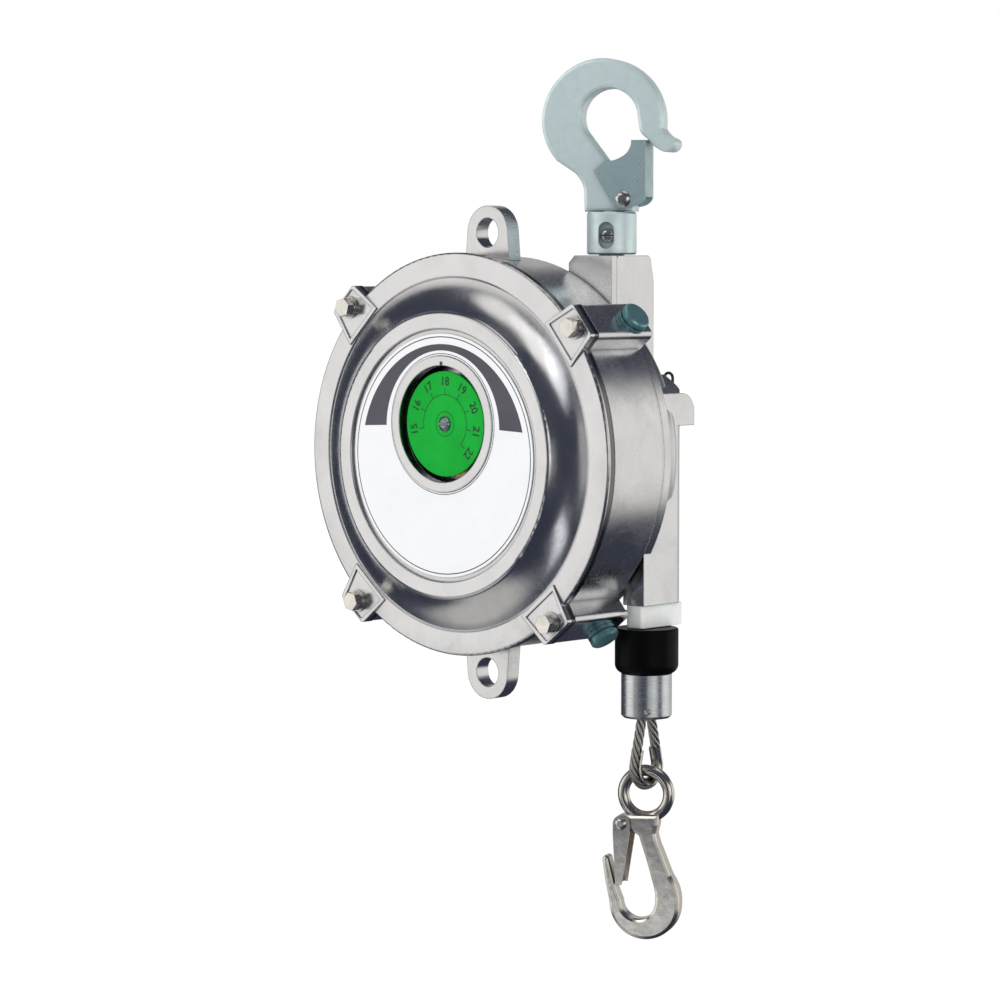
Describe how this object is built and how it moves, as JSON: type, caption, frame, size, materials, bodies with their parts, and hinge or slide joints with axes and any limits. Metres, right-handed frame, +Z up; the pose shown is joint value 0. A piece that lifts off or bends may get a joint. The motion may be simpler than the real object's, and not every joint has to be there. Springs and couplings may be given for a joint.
{
  "type": "spring balancer",
  "caption": "Round spring balancer hung from a swivel hook, with a tension dial, wire rope, rubber bumper and snap hook for a hand tool.",
  "frame": {"origin": "load point inside the upper hook, on the swivel axis", "axes": "+Z up along the swivel axis; the drum turns about Y and the dial faces -Y"},
  "size_m": [0.1899, 0.1003, 0.4145],
  "materials": {
    "cast_aluminium": "polished die cast",
    "scale_plate": "satin",
    "dial_green": "semi-gloss",
    "zinc": "blue zinc plated",
    "nickel": "nickel plated",
    "steel": "turned",
    "spring_steel": "blued",
    "bronze": "sintered",
    "wire_rope": "stranded",
    "black_rubber": "matt",
    "nylon": "moulded",
    "gasket_fibre": "matt",
    "black_wire": "black"
  },
  "bodies": {
    "hanger": {"upper_hook": "zinc", "hook_collar": "zinc", "collar_screw": "zinc", "hook_nut": "steel", "nut_pin": "steel"},
    "hanger_latch": {"upper_latch": "zinc", "upper_latch_rivet": "steel", "upper_latch_spring": "spring_steel"},
    "casing": {"front_cover": "cast_aluminium", "name_plate": "scale_plate", "cover_gasket": "gasket_fibre", "cover_bolts": "zinc", "bolt_washers": "zinc", "main_housing": "cast_aluminium", "rear_housing": "cast_aluminium", "casing_screws": "steel", "boss_plugs": "zinc", "bearing_bridge": "cast_aluminium", "bridge_screws": "steel", "front_bush": "bronze", "rear_bush": "bronze", "gear_cover": "cast_aluminium", "gear_cover_screws": "steel", "worm_bushes": "bronze", "lock_bush": "bronze", "rope_guide": "nylon", "dial_stud": "steel", "thrust_washer": "bronze", "rope_run": "wire_rope"},
    "drum": {"rope_drum": "cast_aluminium", "spring_case_cover": "cast_aluminium", "case_cover_screws": "steel", "drum_bearings": "steel", "mainspring": "spring_steel", "wound_rope": "wire_rope", "rope_anchor": "steel"},
    "arbor": {"drum_shaft": "steel", "worm_wheel": "bronze", "wheel_key": "steel", "wheel_circlip": "steel", "dial_pinion": "steel"},
    "worm": {"worm_shaft": "steel"},
    "dial": {"dial_gear": "bronze", "scale_dial": "dial_green", "dial_screw": "steel"},
    "lock": {"lock_plunger": "steel", "lock_bail": "black_wire"},
    "rope_end": {"rope_bumper": "black_rubber", "stop_sleeve": "nickel", "sleeve_screw": "steel", "rope_loop": "wire_rope", "rope_thimble": "nickel"},
    "load_hook": {"lower_hook": "nickel"},
    "load_latch": {"lower_latch": "nickel", "lower_latch_rivet": "nickel", "lower_latch_spring": "spring_steel"}
  },
  "joints": [
    {"name": "swivel", "type": "hinge", "parent": "hanger", "child": "casing", "pos_m": [0, 0, -0.0818], "axis": [0, 0, 1], "continuous": true},
    {"name": "hanger_latch_hinge", "type": "hinge", "parent": "hanger", "child": "hanger_latch", "pos_m": [0.0065, 0.00331, -0.0518], "axis": [0.454, -0.891, 0], "range_deg": [0, 40], "stiffness_Nm_per_rad": 0.02, "springref_deg": -57.3},
    {"name": "drum_turn", "type": "hinge", "parent": "casing", "child": "drum", "pos_m": [-0.04775, -0.0265, -0.1718], "axis": [0, 1, 0], "range_deg": [0, 1182.86], "stiffness_Nm_per_rad": 0.25, "springref_deg": -2578.31},
    {"name": "rope_pull", "type": "slide", "parent": "casing", "child": "rope_end", "axis": [0, 0, -1], "range_m": [0, 1.5], "deforming": ["rope_run"]},
    {"name": "arbor_turn", "type": "hinge", "parent": "casing", "child": "arbor", "pos_m": [-0.04775, -0.0265, -0.1718], "axis": [0, 1, 0], "range_deg": [-267.3, 356.4]},
    {"name": "worm_turn", "type": "hinge", "parent": "casing", "child": "worm", "pos_m": [-0.04775, 0.02, -0.2008], "axis": [1, 0, 0], "range_deg": [-8019, 10692]},
    {"name": "dial_turn", "type": "hinge", "parent": "casing", "child": "dial", "pos_m": [-0.04775, -0.0635, -0.157], "axis": [0, 1, 0], "range_deg": [-132, 99]},
    {"name": "lock_slide", "type": "slide", "parent": "casing", "child": "lock", "axis": [0, -1, 0], "range_m": [0, 0.005]},
    {"name": "load_swing", "type": "hinge", "parent": "rope_end", "child": "load_hook", "pos_m": [0.02391, -0.002, -0.32035], "axis": [0.9063, 0.4226, 0], "range_deg": [-45, 45]},
    {"name": "load_latch_hinge", "type": "hinge", "parent": "load_hook", "child": "load_latch", "pos_m": [0.01412, -0.00656, -0.3454], "axis": [0.4226, -0.9063, 0], "range_deg": [0, 30], "stiffness_Nm_per_rad": 0.01, "springref_deg": -57.3}
  ],
  "couplings": [
    {"joint": "rope_pull", "follows": "drum_turn", "m_per_rad": 0.072658},
    {"joint": "worm_turn", "follows": "arbor_turn", "ratio": 30},
    {"joint": "dial_turn", "follows": "arbor_turn", "ratio": -0.37037}
  ]
}
